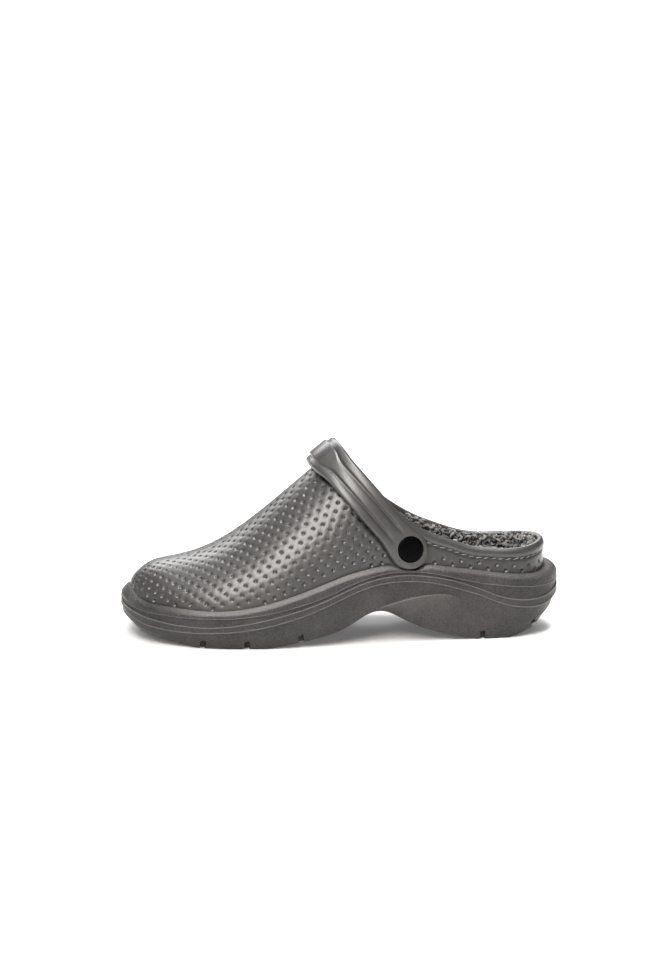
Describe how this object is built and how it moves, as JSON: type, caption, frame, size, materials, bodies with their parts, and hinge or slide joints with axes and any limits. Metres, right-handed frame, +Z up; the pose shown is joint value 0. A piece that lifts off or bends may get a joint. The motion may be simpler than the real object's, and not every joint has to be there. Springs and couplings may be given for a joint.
{
  "type": "fur-lined clog",
  "caption": "Grey foam clog for the left foot, with a dimpled closed toe, a swing strap on black rivets and curly fleece inside.",
  "frame": {"origin": "on the floor, under the middle of the box round the shoe", "axes": "+X to the toe, +Y to the outer (lateral) side of the left foot, +Z up from the floor"},
  "size_m": [0.26, 0.1044, 0.1161],
  "materials": {
    "upper_foam": "smooth moulded foam with a satin sheen",
    "sole_foam": "finely grained matt foam",
    "fleece": "curly pile",
    "rivet_plastic": "black semi-gloss"
  },
  "bodies": {
    "root": {"sole": "sole_foam", "upper": "upper_foam", "strap": "upper_foam", "fleece_insole": "fleece", "fleece_lining": "fleece", "rivet_lateral": "rivet_plastic", "rivet_medial": "rivet_plastic"}
  },
  "joints": []
}
